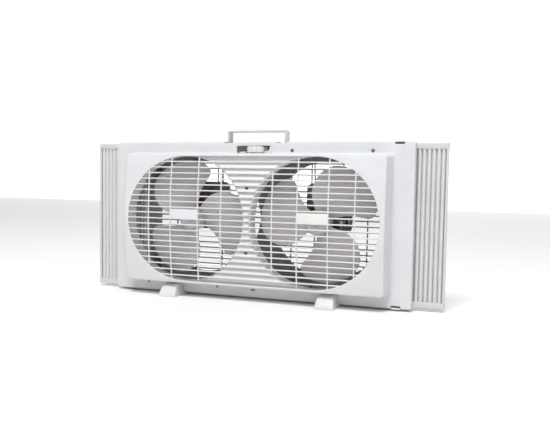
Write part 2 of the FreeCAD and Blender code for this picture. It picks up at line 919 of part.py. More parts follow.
def motor(name, side):
    x = f"{side} * fan_offset"
    stack = ("stack_front", "stack_front + stack_depth")

    owner = body(f"motor_shaft_{name}")
    outline = circle(sketch(owner, "XZ_Plane", x, "mid_height", "-44"), "shaft_radius")
    pad(owner, outline, "44 - hub_front + 5.5")

    owner = body(f"motor_rotor_{name}")
    outline = sketch(owner, "XZ_Plane", x, "mid_height", f"-({stack[1]})")
    pad(owner, circle(outline, "rotor_radius"), "stack_depth")
    hole_y(owner, x, "mid_height", "shaft_radius + press_gap")

    owner = plate_y(f"motor_stator_{name}", x, "mid_height + 15", ("66", "74"), stack)
    hole_y(owner, x, "mid_height", "rotor_radius + air_gap")
    window_y(owner, x, "mid_height + 27", ("36", "18"))

    coil_depth = ("stack_front - 5", "stack_front + stack_depth + 5")
    owner = plate_y(f"motor_coil_{name}", x, "mid_height + coil_rise", ("35", "31"), coil_depth)
    slot = sketch(owner, "YZ_Plane", "stack_front + stack_depth / 2", "mid_height + coil_rise", x)
    rectangle(slot, "stack_depth + 0.4", "16.4")
    pocket(owner, slot, "60", midplane=True)

    front = ("bracket_front", "bracket_front + bracket_thick")
    owner = plate_y(f"motor_front_bracket_{name}", x, "mid_height", ("86", "16"), front)
    for dx in (-21, 21):
        gap = ("bracket_front + bracket_thick - 0.5", "stack_front")
        plate_y("", f"{x} + {dx}", "mid_height", ("6", "16"), gap, owner)
    hole_y(owner, x, "mid_height", "bearing_radius + press_gap")
    for dx in ("-motor_screw_x", "motor_screw_x"):
        hole_y(owner, f"{x} + {dx}", "mid_height", "screw_shank + 0.3")

    rear = ("bracket_back - bracket_thick", "bracket_back")
    owner = plate_y(f"motor_rear_bracket_{name}", x, "mid_height", ("86", "16"), rear)
    for dx in (-21, 21):
        gap = (stack[1], "bracket_back - bracket_thick + 0.5")
        plate_y("", f"{x} + {dx}", "mid_height", ("6", "16"), gap, owner)
    hole_y(owner, x, "mid_height", "bearing_radius + press_gap")
    for dx in ("-motor_screw_x", "motor_screw_x"):
        hole_y(owner, f"{x} + {dx}", "mid_height", "screw_shank + 0.3")

    pair = doc.addObject("Part::Compound", "bearings")
    pair.Links = [
        cut(
            rod_y(x, depth, "mid_height", "bearing_radius"),
            [rod_y(x, ("-10", "50"), "mid_height", "shaft_radius + running_gap")],
        )
        for depth in (("2", "9"), ("34.5", "41.5"))
    ]
    part(pair, f"motor_bearings_{name}")

    places = [(f"{x} + {dx}", "mid_height") for dx in ("-motor_screw_x", "motor_screw_x")]
    head = ("bracket_front - 1.6", "bracket_front")
    screws(f"motor_screws_{name}", places, head, ("bracket_front - 0.2", "51.5"))


for name, side in SIDES:
    fan_blade(name, side)
    blade_nut(name, side)
    motor(name, side)

# ---------------------------------------------------------------- wiring


def lead(label, corners):
    """A round wire through the corners, with tangent arcs between straight runs."""
    bend = S["lead_bend"]
    edges = []
    start = corners[0]
    for before, corner, after in zip(corners, corners[1:], corners[2:]):
        back = (before - corner).normalize()
        ahead = (after - corner).normalize()
        first = corner + back * bend
        last = corner + ahead * bend
        middle = corner + (back + ahead) * bend * (1 - math.sqrt(0.5))
        edges.append(Part.makeLine(start, first))
        edges.append(Part.Arc(first, middle, last).toShape())
        start = last
    edges.append(Part.makeLine(start, corners[-1]))
    path = Part.Wire(edges)
    ring = Part.makeCircle(S["lead_radius"], corners[0], corners[1] - corners[0])
    return shaped(label, path.makePipeShell([Part.Wire([ring])], True, True))


def leads():
    """Wires from each coil up behind an inner upright to the switch, and from the gland."""
    coil_back = 34.6
    switch_plane = 5.0
    high_run = 270.0
    mains_plane = 4.0
    brace_plane = -38.5
    low_run = 36.0
    coil_z = S["mid_height"] + S["coil_rise"]
    for name, side in SIDES:
        coil_x = side * (S["fan_offset"] - 17.8)
        upright_x = side * S["upright_two"]
        lead(
            f"lead_{name}",
            [
                Vector(coil_x, coil_back, coil_z),
                Vector(upright_x, coil_back, coil_z),
                Vector(upright_x, coil_back, high_run),
                Vector(side * 26.0, coil_back, high_run),
                Vector(side * 26.0, switch_plane, high_run),
                Vector(side * 15.3, switch_plane, high_run),
            ],
        )
    gland_x = S["gland_x"]
    gland_z = S["gland_z"]
    lead(
        "lead_mains",
        [
            Vector(gland_x, 15.2, gland_z),
            Vector(gland_x, mains_plane, gland_z),
            Vector(gland_x, mains_plane, low_run),
            Vector(0, mains_plane, low_run),
            Vector(0, brace_plane, low_run),
            Vector(0, brace_plane, 244.0),
            Vector(0, 0, 244.0),
            Vector(0, 0, S["switch_low"] - 0.3),
        ],
    )


def cord_gland():
    """Sleeve in the rear wall where a cord would enter, flanged on the outside."""
    owner = body("cord_gland")
    for radius, low, high in (
        ("gland_radius", "frame_half - 4.5", "frame_half + 6"),
        ("gland_radius + 2.5", "frame_half + 0.1", "frame_half + 2.6"),
    ):
        outline = sketch(owner, "XZ_Plane", "gland_x", "gland_z", f"-({high})")
        pad(owner, circle(outline, radius), f"({high}) - ({low})")
    hole_y(owner, "gland_x", "gland_z", "3.5")
    return owner


leads()
cord_gland()

# ---------------------------------------------------------------- feet


def toe(turn, x):
    """Tapered toe in front of or behind the body's bottom band."""
    wedge = doc.addObject("Part::Wedge", "toe")
    wedge.Placement = Placement(Vector(), Rotation(Vector(0, 0, 1), turn) * UPRIGHT)
    return bind(
        wedge,
        Xmin="-foot_toe_width / 2",
        Xmax="foot_toe_width / 2",
        X2min="-foot_toe_width / 2 + 2",
        X2max="foot_toe_width / 2 - 2",
        Ymin="0",
        Ymax="toe_height",
        Zmin="frame_half + 0.3",
        Zmax="foot_reach",
        Z2min="frame_half + 0.3",
        Z2max="foot_reach - 13",
        Placement__Base__x=x,
    )


def foot(name, x):
    """Clip-on foot: a base under the body, a tongue in its bottom wall and two toes."""
    half = "foot_width / 2"
    base = box(
        (f"{x} - {half}", f"{x} + {half}"),
        ("-(frame_half + 12)", "frame_half + 12"),
        ("0", BOTTOM),
        "base",
    )
    tongue = box((f"{x} - 8", f"{x} + 8"), ("-4", "4"), ("1", f"{BOTTOM} + wall - 0.2"), "tongue")
    return part(join([base, tongue, toe(0, x), toe(180, x)]), f"foot_{name}")


UPRIGHT = Rotation(Vector(1, 0, 0), 90)
for name, x in FOOT_X.items():
    foot(name, x)

# ---------------------------------------------------------------- checks and files

doc.recompute()
faults = [obj.Label for obj in doc.Objects if {"Invalid", "Error"} & set(obj.State)]
faults += [obj.Label for obj in parts if obj.Shape.isNull() or not obj.Shape.isValid()]
if faults:
    raise RuntimeError(f"faulty objects: {sorted(set(faults))}")

os.makedirs("parts", exist_ok=True)
for obj in parts:
    obj.Shape.exportStep(f"parts/{obj.Label}.step")
    print(f"{obj.Label}: {len(obj.Shape.Solids)} solid(s), {obj.Shape.Volume / 1000:.1f} cm3")
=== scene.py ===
import math

import bmesh
import bpy
from mathutils import Matrix, Vector


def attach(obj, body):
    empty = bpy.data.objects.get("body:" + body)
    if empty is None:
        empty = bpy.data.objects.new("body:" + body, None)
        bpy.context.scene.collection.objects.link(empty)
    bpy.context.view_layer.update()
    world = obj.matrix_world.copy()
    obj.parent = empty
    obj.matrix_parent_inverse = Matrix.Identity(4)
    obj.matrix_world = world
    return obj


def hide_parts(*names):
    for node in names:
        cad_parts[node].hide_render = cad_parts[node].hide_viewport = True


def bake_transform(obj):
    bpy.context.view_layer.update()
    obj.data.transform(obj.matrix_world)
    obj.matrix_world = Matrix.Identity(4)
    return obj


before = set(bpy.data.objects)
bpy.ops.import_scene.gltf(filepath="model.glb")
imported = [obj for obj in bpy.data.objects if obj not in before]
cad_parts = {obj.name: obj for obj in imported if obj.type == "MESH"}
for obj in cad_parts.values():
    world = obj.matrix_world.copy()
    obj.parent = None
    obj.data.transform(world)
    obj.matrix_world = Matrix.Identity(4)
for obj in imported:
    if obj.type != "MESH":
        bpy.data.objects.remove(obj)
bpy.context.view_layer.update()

MM = 0.001
MID = 154.0  # height of the fan axes
TOP = 304.0
BOTTOM = 4.0
SIDES = (("left", -1), ("right", 1))
FAN_X = 129.0
OPENING = 120.5  # radius of the openings
BOW = 879.5  # radius of the bowed panel
FACE = 64.0  # distance of the panel's face from the middle plane at mid height
HALF_X, HALF_Z = 302.0, 150.0  # the body's half width and half height
STEP = 20.0  # distance of the frame round the panel from the middle plane
PARTING = 0.35  # each half of the body stops this far from the middle plane
SLAT_PITCH = 11.0
SLAT_ROWS = 10  # slats above, and below, the middle one
SLAT = 2.5  # thickness of slats and uprights
UPRIGHTS = (51.0, 99.0, 157.0, 205.0)


def face_depth(dz, inset=0.0):
    """Distance of the bowed face from the middle plane at dz above mid height."""
    radius = BOW - inset
    return FACE - BOW + math.sqrt(radius * radius - dz * dz)


# ---------------------------------------------------------------- materials


def plastic(name, colour, rough=0.42, grain=900.0, bump=0.04, tint=0.025, coat=0.0):
    """Moulded plastic: fine grain, faint flow mottling and slightly uneven gloss."""
    mat = bpy.data.materials.new(name)
    mat.use_nodes = True
    nodes = mat.node_tree.nodes
    links = mat.node_tree.links
    shader = nodes["Principled BSDF"]
    coords = nodes.new("ShaderNodeTexCoord")
    mottle = nodes.new("ShaderNodeTexNoise")
    mottle.inputs["Scale"].default_value = 22.0
    mottle.inputs["Detail"].default_value = 5.0
    links.new(coords.outputs["Object"], mottle.inputs["Vector"])
    ramp = nodes.new("ShaderNodeValToRGB")
    low = [max(c * (1 - tint), 0) for c in colour]
    high = [min(c * (1 + tint), 1) for c in colour]
    ramp.color_ramp.elements[0].position = 0.3
    ramp.color_ramp.elements[1].position = 0.7
    ramp.color_ramp.elements[0].color = (*low, 1)
    ramp.color_ramp.elements[1].color = (*high, 1)
    links.new(mottle.outputs["Fac"], ramp.inputs["Fac"])
    links.new(ramp.outputs["Color"], shader.inputs["Base Color"])
    gloss = nodes.new("ShaderNodeMapRange")
    gloss.inputs["To Min"].default_value = rough - 0.05
    gloss.inputs["To Max"].default_value = rough + 0.07
    links.new(mottle.outputs["Fac"], gloss.inputs["Value"])
    links.new(gloss.outputs["Result"], shader.inputs["Roughness"])
    fine = nodes.new("ShaderNodeTexNoise")
    fine.inputs["Scale"].default_value = grain
    fine.inputs["Detail"].default_value = 3.0
    links.new(coords.outputs["Object"], fine.inputs["Vector"])
    relief = nodes.new("ShaderNodeBump")
    relief.inputs["Strength"].default_value = bump
    relief.inputs["Distance"].default_value = 0.0004
    links.new(fine.outputs["Fac"], relief.inputs["Height"])
    links.new(relief.outputs["Normal"], shader.inputs["Normal"])
    shader.inputs["Coat Weight"].default_value = coat
    shader.inputs["Specular IOR Level"].default_value = 0.45
    return mat


def metal(name, colour, rough=0.35, brush=(1.0, 1.0, 40.0), bump=0.05):
    """Metal with drawn or pressed streaks along one direction."""
    mat = bpy.data.materials.new(name)
    mat.use_nodes = True
    nodes = mat.node_tree.nodes
    links = mat.node_tree.links
    shader = nodes["Principled BSDF"]
    coords = nodes.new("ShaderNodeTexCoord")
    stretch = nodes.new("ShaderNodeMapping")
    stretch.inputs["Scale"].default_value = brush
    links.new(coords.outputs["Object"], stretch.inputs["Vector"])
    streak = nodes.new("ShaderNodeTexNoise")
    streak.inputs["Scale"].default_value = 60.0
    streak.inputs["Detail"].default_value = 6.0
    links.new(stretch.outputs["Vector"], streak.inputs["Vector"])
    ramp = nodes.new("ShaderNodeValToRGB")
    ramp.color_ramp.elements[0].color = (*[c * 0.82 for c in colour], 1)
    ramp.color_ramp.elements[1].color = (*[min(c * 1.1, 1) for c in colour], 1)
    links.new(streak.outputs["Fac"], ramp.inputs["Fac"])
    links.new(ramp.outputs["Color"], shader.inputs["Base Color"])
    gloss = nodes.new("ShaderNodeMapRange")
    gloss.inputs["To Min"].default_value = rough - 0.08
    gloss.inputs["To Max"].default_value = rough + 0.12
    links.new(streak.outputs["Fac"], gloss.inputs["Value"])
    links.new(gloss.outputs["Result"], shader.inputs["Roughness"])
    relief = nodes.new("ShaderNodeBump")
    relief.inputs["Strength"].default_value = bump
    relief.inputs["Distance"].default_value = 0.0003
    links.new(streak.outputs["Fac"], relief.inputs["Height"])
    links.new(relief.outputs["Normal"], shader.inputs["Normal"])
    shader.inputs["Metallic"].default_value = 1.0
    return mat


WHITE = plastic("housing_white", (0.66, 0.67, 0.69), rough=0.42)
# painted shade: the white housing plastic made grey where it lies inside, past the opening's lip
INSIDE_SHADE = plastic("housing_inside_painted_shade", (0.56, 0.53, 0.51), rough=0.6, grain=500.0, bump=0.08)
GRILLE = plastic("grille_white", (0.68, 0.69, 0.705), rough=0.38)
DUCT = plastic("shroud_white", (0.72, 0.72, 0.72), rough=0.45)
REAR_GRILLE = plastic("rear_grille_white", (0.66, 0.665, 0.67), rough=0.42)
# painted shade: the white rear plastic made dark grey on its inner faces, a shaded copy of the same
# moulding
REAR_SHADE = plastic("rear_inside_painted_shade", (0.34, 0.315, 0.295), rough=0.55)
# painted shade: dark grey for walls of the white housing that stand in shadow
COLUMN_WALL_SHADE = plastic("column_wall_painted_shade", (0.27, 0.25, 0.24), rough=0.6)
REAR_WEB = plastic("rear_web_white", (0.62, 0.62, 0.62), rough=0.5)
EXTENDER = plastic("extender_white", (0.60, 0.60, 0.605), rough=0.45)
PLEAT = plastic("pleat_white", (0.66, 0.655, 0.655), rough=0.5, grain=1400.0, bump=0.05)
BLADE = plastic("blade_grey", (0.62, 0.59, 0.59), rough=0.3, bump=0.02, tint=0.035, coat=0.15)
# painted light: two identical blank plates tinted apart, cooler shade on the left one, warmer light
# on the right one
BADGE_COOL_SHADE = plastic("badge_cool_painted_shade", (0.70, 0.73, 0.77), rough=0.3, bump=0.01)
BADGE_WARM_LIGHT = plastic("badge_warm_painted_light", (0.76, 0.75, 0.72), rough=0.3, bump=0.01)
HANDLE = plastic("handle_white", (0.58, 0.58, 0.585), rough=0.4)
WHEEL = plastic("wheel_white", (0.72, 0.72, 0.72), rough=0.35)
FOOT = plastic("foot_white", (0.66, 0.665, 0.675), rough=0.42)
DARK = plastic("dark_plastic", (0.03, 0.03, 0.032), rough=0.5)
LEAD = plastic("lead_jacket", (0.22, 0.215, 0.21), rough=0.5)
TAPE = plastic("coil_tape", (0.10, 0.07, 0.035), rough=0.35, grain=260.0, bump=0.2, tint=0.12)
GLAND = plastic("gland_grey", (0.60, 0.60, 0.60), rough=0.5)
STEEL = metal("screw_steel", (0.55, 0.55, 0.56), rough=0.3)
ZINC = metal("zinc_steel", (0.62, 0.63, 0.64), rough=0.38, brush=(8.0, 1.0, 1.0))
# painted shade: motor brackets made much darker than their zinc-plated steel, for the dark inside
# of the body
BRACKET_SHADE = metal("bracket_painted_shade", (0.17, 0.155, 0.14), rough=0.45, brush=(8.0, 1.0, 1.0))
# painted shade: web screws made near black, darker than their steel
WEB_SCREW_SHADE = metal("web_screw_painted_shade", (0.10, 0.10, 0.10), rough=0.45)
CORNER_SCREW = metal("corner_screw_steel", (0.26, 0.26, 0.27), rough=0.4)
SHAFT = metal("shaft_steel", (0.66, 0.66, 0.67), rough=0.22, brush=(1.0, 30.0, 1.0))
# painted shade: stator and rotor laminations made darker than their steel, for the dark inside of
# the body
LAMINATION_SHADE = metal(
    "lamination_steel", (0.12, 0.115, 0.11), rough=0.45, brush=(1.0, 40.0, 1.0), bump=0.3
)
BRONZE = metal("bearing_bronze", (0.62, 0.44, 0.22), rough=0.4)

# ---------------------------------------------------------------- mesh helpers


def sharpen(bm, angle):
    """Smooth faces, with edges above the angle left sharp."""
    limit = math.radians(angle)
    for face in bm.faces:
        face.smooth = True
    for edge in bm.edges:
        edge.smooth = len(edge.link_faces) != 2 or edge.calc_face_angle(0.0) < limit


def finish_piece(obj, body, stands_for=(), angle=35.0):
    """Bakes the modifiers in, shades the piece and hangs it on its body."""
    apply_modifiers(obj)
    bm = bmesh.new()
    bm.from_mesh(obj.data)
    sharpen(bm, angle)
    bm.to_mesh(obj.data)
    bm.free()
    if body:
        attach(obj, body)
    if stands_for:
        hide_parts(*stands_for)


def apply_modifiers(obj):
    """Replaces the mesh by its result under the modifiers."""
    graph = bpy.context.evaluated_depsgraph_get()
    graph.update()
    done = bpy.data.meshes.new_from_object(obj.evaluated_get(graph))
    obj.modifiers.clear()
    obj.data = done


def as_object(name, bm, *mats):
    """Turns a bmesh in millimetres into an object in metres."""
    bmesh.ops.scale(bm, vec=(MM, MM, MM), verts=bm.verts)
    bmesh.ops.recalc_face_normals(bm, faces=bm.faces)
    mesh = bpy.data.meshes.new(name)
    bm.to_mesh(mesh)
    bm.free()
    obj = bpy.data.objects.new(name, mesh)
    bpy.context.scene.collection.objects.link(obj)
    for mat in mats:
        mesh.materials.append(mat)
    return obj


def add_box(bm, low, high):
    """A box between two corners."""
    for vert in bmesh.ops.create_cube(bm, size=1.0)["verts"]:
        for axis in range(3):
            vert.co[axis] = high[axis] if vert.co[axis] > 0 else low[axis]


def span(s, a, b):
    """Sorted x limits of what lies between a and b from the middle, on side s."""
    return sorted((s * a, s * b))


def skin(bm, rows, loop=False):
    """Joins equal rows of vertices round a tube: capped, or the last row joined to the first."""
    if not loop:
        bm.faces.new(rows[0])
        bm.faces.new(rows[-1][::-1])
    count = len(rows[0])
    made = []
    for row, after in zip(rows, rows[1:] + (rows[:1] if loop else [])):
        for i in range(count):
            j = (i + 1) % count
            made.append(bm.faces.new((row[i], row[j], after[j], after[i])))
    return made


def around(centre, radius, angle, depth):
    """The point at an angle and radius about the Y axis through centre."""
    return (centre.x + radius * math.cos(angle), depth, centre.z + radius * math.sin(angle))


def fan_centre(s):
    """Where the fan's axis on side s meets the middle plane."""
    return Vector((s * FAN_X, 0, MID))


def spin(bm, profile, centre, steps=64):
    """Turns a closed profile of (radius, depth) points about the Y axis through centre."""
    turns = [2 * math.pi * i / steps for i in range(steps)]
    rows = [
        [bm.verts.new(around(centre, radius, turn, depth)) for turn in turns]
        for radius, depth in profile
    ]
    skin(bm, rows, loop=True)


def add_bowed_bar(bm, half, steps, section):
    """A bar half above and half below the middle; section(dz) gives its (x, y) corners there."""
    rows = []
    for i in range(steps + 1):
        dz = half * (2 * i / steps - 1)
        rows.append([bm.verts.new((x, y, MID + dz)) for x, y in section(dz)])
    skin(bm, rows)


def add_prism(bm, outline, place, length):
    """Extrudes a closed outline of (u, v) pairs; place maps (u, v, w) to a point."""
    skin(bm, [[bm.verts.new(place(u, v, w)) for u, v in outline] for w in (0.0, length)])


def add_rod(bm, start, radius, length, steps=32):
    """A capped cylinder from start along +Y."""
    turns = [2 * math.pi * i / steps for i in range(steps)]
    ring = [(radius * math.cos(turn), radius * math.sin(turn)) for turn in turns]
    x, y, z = start
    add_prism(bm, ring, lambda u, v, w: Vector((x + u, y + w, z + v)), length)


def arc_points(cx, cz, radius, start, end, steps=5):
    """Points on an arc between two angles in degrees."""
    made = []
    for i in range(steps + 1):
        angle = math.radians(start + (end - start) * i / steps)
        made.append((cx + radius * math.cos(angle), cz + radius * math.sin(angle)))
    return made


def bevel(obj, width, segments=3, angle=40.0):
    """Rounds the sharp edges, width in millimetres."""
    mod = obj.modifiers.new("round", "BEVEL")
    mod.width = width * MM
    mod.segments = segments
    mod.limit_method = "ANGLE"
    mod.angle_limit = math.radians(angle)
    mod.harden_normals = False
    mod.use_clamp_overlap = True


def carve(obj, cutter):
    """Subtracts the cutter object from obj and removes it."""
    mod = obj.modifiers.new("carve", "BOOLEAN")
    mod.operation = "DIFFERENCE"
    mod.solver = "EXACT"
    mod.use_self = False
    mod.object = cutter
    apply_modifiers(obj)
    bpy.data.objects.remove(cutter)


# ---------------------------------------------------------------- shells

CORNER_FINE = (38.0, 50.0)  # ray angles that meet a corner of the panel


def rays():
    """Start points and directions that fan out from the opening's stadium centre line."""
    angles = []
    angle = -90.0
    while angle < 90.0:
        angles.append(angle)
        fine = CORNER_FINE[0] <= abs(angle) <= CORNER_FINE[1]
        angle += 0.75 if fine else 3.0
    across = 40
    pitch = 2 * FAN_X / across
    made = [(FAN_X, math.radians(a)) for a in angles]
    made += [(FAN_X - pitch * i, math.radians(90)) for i in range(across)]
    made += [(-FAN_X, math.radians(a + 180)) for a in angles]
    made += [(-FAN_X + pitch * i, math.radians(270)) for i in range(across)]
    return [(x, Vector((math.cos(a), math.sin(a)))) for x, a in made]


RAYS = rays()


def rounded_rect_distance(x, z, half_x, half_z, corner):
    """Signed distance to a rounded rectangle about the origin, negative inside."""
    qx = abs(x) - half_x + corner
    qz = abs(z) - half_z + corner
    outside = math.hypot(max(qx, 0), max(qz, 0))
    return outside + min(max(qx, qz), 0) - corner


def reach_rect(half_x, half_z, corner):
    """Where each ray leaves a rounded rectangle, found by halving."""
    beyond, halvings = 420.0, 36
    made = []
    for x, aim in RAYS:
        low, high = 0.0, beyond
        for _ in range(halvings):
            middle = (low + high) / 2
            px = x + aim.x * middle
            pz = aim.y * middle
            inside = rounded_rect_distance(px, pz, half_x, half_z, corner) < 0
            low, high = (middle, high) if inside else (low, middle)
        made.append((x + aim.x * low, aim.y * low))
    return made


def reach_stadium(radius):
    """Where each ray leaves the stadium of that radius."""
    return [(x + aim.x * radius, aim.y * radius) for x, aim in RAYS]


def between(ring_a, ring_b, share):
    """A ring at a share of the way from one ring to another."""
    return [
        (ax + (bx - ax) * share, az + (bz - az) * share)
        for (ax, az), (bx, bz) in zip(ring_a, ring_b)
    ]


def shell_piece(side, name):
    """One half of the body as a closed skin: frame, coved step, drafted panel, rim and lip."""
    rings = []

    def ring(points, depth):
        rings.append([(x, depth(z), z) for x, z in points])

    def level(value):
        return lambda z: value

    edge = 2.5
    for depth in (PARTING, 9.0):
        ring(reach_rect(HALF_X, HALF_Z, 4.0), level(depth))
    for step in range(5):
        turn = math.radians(22.5 * step)
        inset = edge * (1 - math.cos(turn))
        ring(
            reach_rect(HALF_X - inset, HALF_Z - inset, 4.0),
            level(STEP - edge + edge * math.sin(turn)),
        )
    cove = 6.0
    base = reach_rect(270.0, 129.6, 10.0)
    foot = reach_rect(264.0, 127.2, 8.0)
    ring(between(rings_xz(rings[-1]), base, 0.5), level(STEP))
    for step in range(6):
        turn = math.radians(18.0 * step)
        ring(between(base, foot, math.sin(turn)), level(STEP + cove * (1 - math.cos(turn))))
    rim = 3.0
    rim_x, rim_z, rim_corner = 258.6, 125.6, 8.0
    rim_outer = reach_rect(rim_x, rim_z, rim_corner)
    for share in (0.33, 0.66, 1.0):
        ring(
            between(foot, rim_outer, share),
            lambda z, f=share: (STEP + cove) * (1 - f) + (face_depth(z) - rim) * f,
        )
    for step in range(1, 6):
        turn = math.radians(18.0 * step)
        inset = rim * (1 - math.cos(turn))
        ring(
            reach_rect(rim_x - inset, rim_z - inset, rim_corner - inset),
            lambda z, lift=rim * math.sin(turn): face_depth(z) - rim + lift,
        )
    lip = 1.0
    rim_inner = rings_xz(rings[-1])
    lip_outer = reach_stadium(OPENING + lip)
    for share in (0.2, 0.4, 0.6, 0.8, 1.0):
        ring(between(rim_inner, lip_outer, share), face_depth)
    for step in range(1, 5):
        turn = math.radians(22.5 * step)
        ring(
            reach_stadium(OPENING + lip * (1 - math.sin(turn))),
            lambda z, drop=lip * (1 - math.cos(turn)): face_depth(z) - drop,
        )
    outside = len(rings)
    skirt, wall, inner_wall = 4.6, 2.6, 2.5
    ring(reach_stadium(OPENING), lambda z: face_depth(z) - skirt)
    ring(reach_stadium(OPENING + 1.2), lambda z: face_depth(z) - skirt)
    ring(reach_stadium(OPENING + 1.3), lambda z: face_depth(z) - wall)
    ring(reach_rect(255.5, 123.0, 5.0), lambda z: face_depth(z) - wall)
    ring(reach_rect(257.0, 124.0, 5.0), level(STEP - inner_wall))
    for depth in (STEP - inner_wall, PARTING):
        ring(reach_rect(HALF_X - inner_wall, HALF_Z - inner_wall, 2.0), level(depth))

    bm = bmesh.new()
    rows = [
        [bm.verts.new((x, side * depth, MID + z)) for x, depth, z in row] for row in rings
    ]
    faces = skin(bm, rows, loop=True)
    # faces from the lip's last ring inwards get the grey second material: painted shade on the
    # white moulding
    for face in faces[(outside - 1) * len(RAYS) :]:
        face.material_index = 1
    return as_object(name, bm, WHITE, INSIDE_SHADE)


def rings_xz(row):
    """A ring without its depths."""
    return [(x, z) for x, _, z in row]


RECESSES = ((75, 286.5), (227, 286.5), (-75, 21.5), (-227, 21.5))  # x and z of the corner screws


def shared_cuts(bm, side):
    """Notches for the handle and gaps in the sides, shared by both halves."""
    for _, s in SIDES:
        x = span(s, 43.0, 64.0)
        y = (-22.0, 1.0) if side < 0 else (-1.0, 22.0)
        add_box(bm, (x[0], y[0], TOP - 3.0), (x[1], y[1], TOP + 3.0))
        x = span(s, 298.0, 304.0)
        y = (-3.0, 1.0) if side < 0 else (-1.0, 9.0)
        add_box(bm, (x[0], y[0], BOTTOM + 2.6), (x[1], y[1], TOP - 2.6))


def front_body():
    """Front half, with the control window, a slot, screw recesses and latch slots."""
    obj = shell_piece(-1, "front_body")
    bm = bmesh.new()
    shared_cuts(bm, -1)
    ahead, behind = -24, -14  # the cutters' ends, ahead of and behind the frame's face
    window, slot = (36.4, 281.8, 295.8), (4.5, 17.4, 20.6)
    for half, low, high in (window, slot):
        add_box(bm, (-half, ahead, low), (half, behind, high))
    for x, z in RECESSES:
        add_rod(bm, (x, ahead, z), 3.4, 5.6, 24)
    for low, high in ((TOP - 5.5, TOP + 2.0), (BOTTOM - 2.0, BOTTOM + 5.5)):
        add_box(bm, (266.0, ahead, low), (283.0, 1.0, high))
    carve(obj, as_object("front_cuts", bm))
    bevel(obj, 0.5, 2, 50)
    finish_piece(obj, "housing", ["front_shell"], 30)


def window_lip():
    """A low ledge left of the wheel and a curved cheek at the right end of the window."""
    low, high = 281.7, 295.9
    cheek = [(36.6, low), (36.6, high), (31.2, high), (30.4, low + 8.6), (28.6, low + 5.6)]
    cheek += [(25.6, low + 3.9), (19.2, low + 3.2), (19.2, low)]
    ledge = [(-19.2, low), (-19.2, low + 3.0), (-28.4, low + 3.0), (-30.6, low + 1.8), (-30.6, low)]
    bm = bmesh.new()
    for outline in (cheek, ledge):
        add_prism(bm, outline, lambda u, v, w: Vector((u, -19.4 + w, v)), 5.2)
    obj = as_object("window_lip", bm, WHITE)
    bevel(obj, 0.5, 3)
    finish_piece(obj, "housing")


def rear_body():
    """Rear half, with the hole for the gland."""
    obj = shell_piece(1, "rear_body")
    bm = bmesh.new()
    shared_cuts(bm, 1)
    add_rod(bm, (110.0, 12, 17.0), 7.0, 12, 32)
    carve(obj, as_object("rear_cuts", bm))
    bevel(obj, 0.5, 2, 50)
    finish_piece(obj, "housing", ["rear_shell"], 30)


def half_chord(offset, radius):
    """Half the length of a circle's chord at that offset from its centre."""
    return math.sqrt(max(radius * radius - offset * offset, 0.0))


def nose(thick, depth, steps=6):
    """Outline of a bar with a rounded nose: (across, back from the nose)."""
    r = thick / 2
    arc = [
        (-r * math.cos(math.pi * i / steps), r - r * math.sin(math.pi * i / steps))
        for i in range(steps + 1)
    ]
    return arc + [(r * 0.8, depth), (-r * 0.8, depth)]


def grille(side, name):
    """Rounded slats and bowed uprights across the opening of one half."""
    bm = bmesh.new()
    reach = OPENING + 1.0
    for row in range(-SLAT_ROWS, SLAT_ROWS + 1):
        dz = row * SLAT_PITCH
        half = FAN_X + half_chord(dz, reach)
        depth = face_depth(dz) - 0.25
        add_prism(
            bm,
            nose(SLAT, 4.6),
            lambda u, v, w, d=depth, h=half, z=dz: Vector((w - h, side * (d - v), MID + z + u)),
            2 * half,
        )
    outline = nose(SLAT, 3.6)
    for x in [s * u for s in (-1, 1) for u in UPRIGHTS]:
        add_bowed_bar(
            bm,
            half_chord(abs(x) - FAN_X, reach),
            28,
            lambda dz, x=x: [(x + u, side * (face_depth(dz) - 0.7 - v)) for u, v in outline],
        )
    if side < 0:
        obj = as_object(name, bm, GRILLE)
    else:
        # faces deeper than 2.2 mm turn grey: painted shade on the grille's inside
        paint_shade_inside(bm, 2.2)
        obj = as_object(name, bm, REAR_GRILLE, REAR_SHADE)
    finish_piece(obj, "housing")


def paint_shade_inside(bm, depth):
    """Gives the faces that lie deeper than depth behind the rear face the second material, a grey
    that paints shade on the insides.
    """
    for face in bm.faces:
        middle = face.calc_center_median()
        behind = face_depth(middle.z - MID) - middle.y
        face.material_index = 1 if behind > depth else 0


def badges():
    """Blank plates between the middle uprights, with rounded edges."""
    # each plate gets its own tint: painted shade on the left, painted light on the right
    for (name, s), mat in zip(SIDES, (BADGE_COOL_SHADE, BADGE_WARM_LIGHT)):
        x = span(s, UPRIGHTS[1], UPRIGHTS[2])
        bm = bmesh.new()
        low, high = MID - 1.2, MID + 18.4
        add_box(bm, (x[0], -63.7, low), (x[1], -59.0, high))
        obj = as_object(f"badge_{name}", bm, mat)
        bevel(obj, 0.9, 4)
        finish_piece(obj, "housing")


def rounded_rectangle(x, z, round_off):
    """Outline of a rectangle between the pairs x and z with round corners."""
    low_x, high_x = x[0] + round_off, x[1] - round_off
    low_z, high_z = z[0] + round_off, z[1] - round_off
    made = []
    for cx, cz, start in (
        (high_x, high_z, 90),
        (low_x, high_z, 180),
        (low_x, low_z, 270),
        (high_x, low_z, 360),
    ):
        made += arc_points(cx, cz, round_off, start - 90, start)
    return made


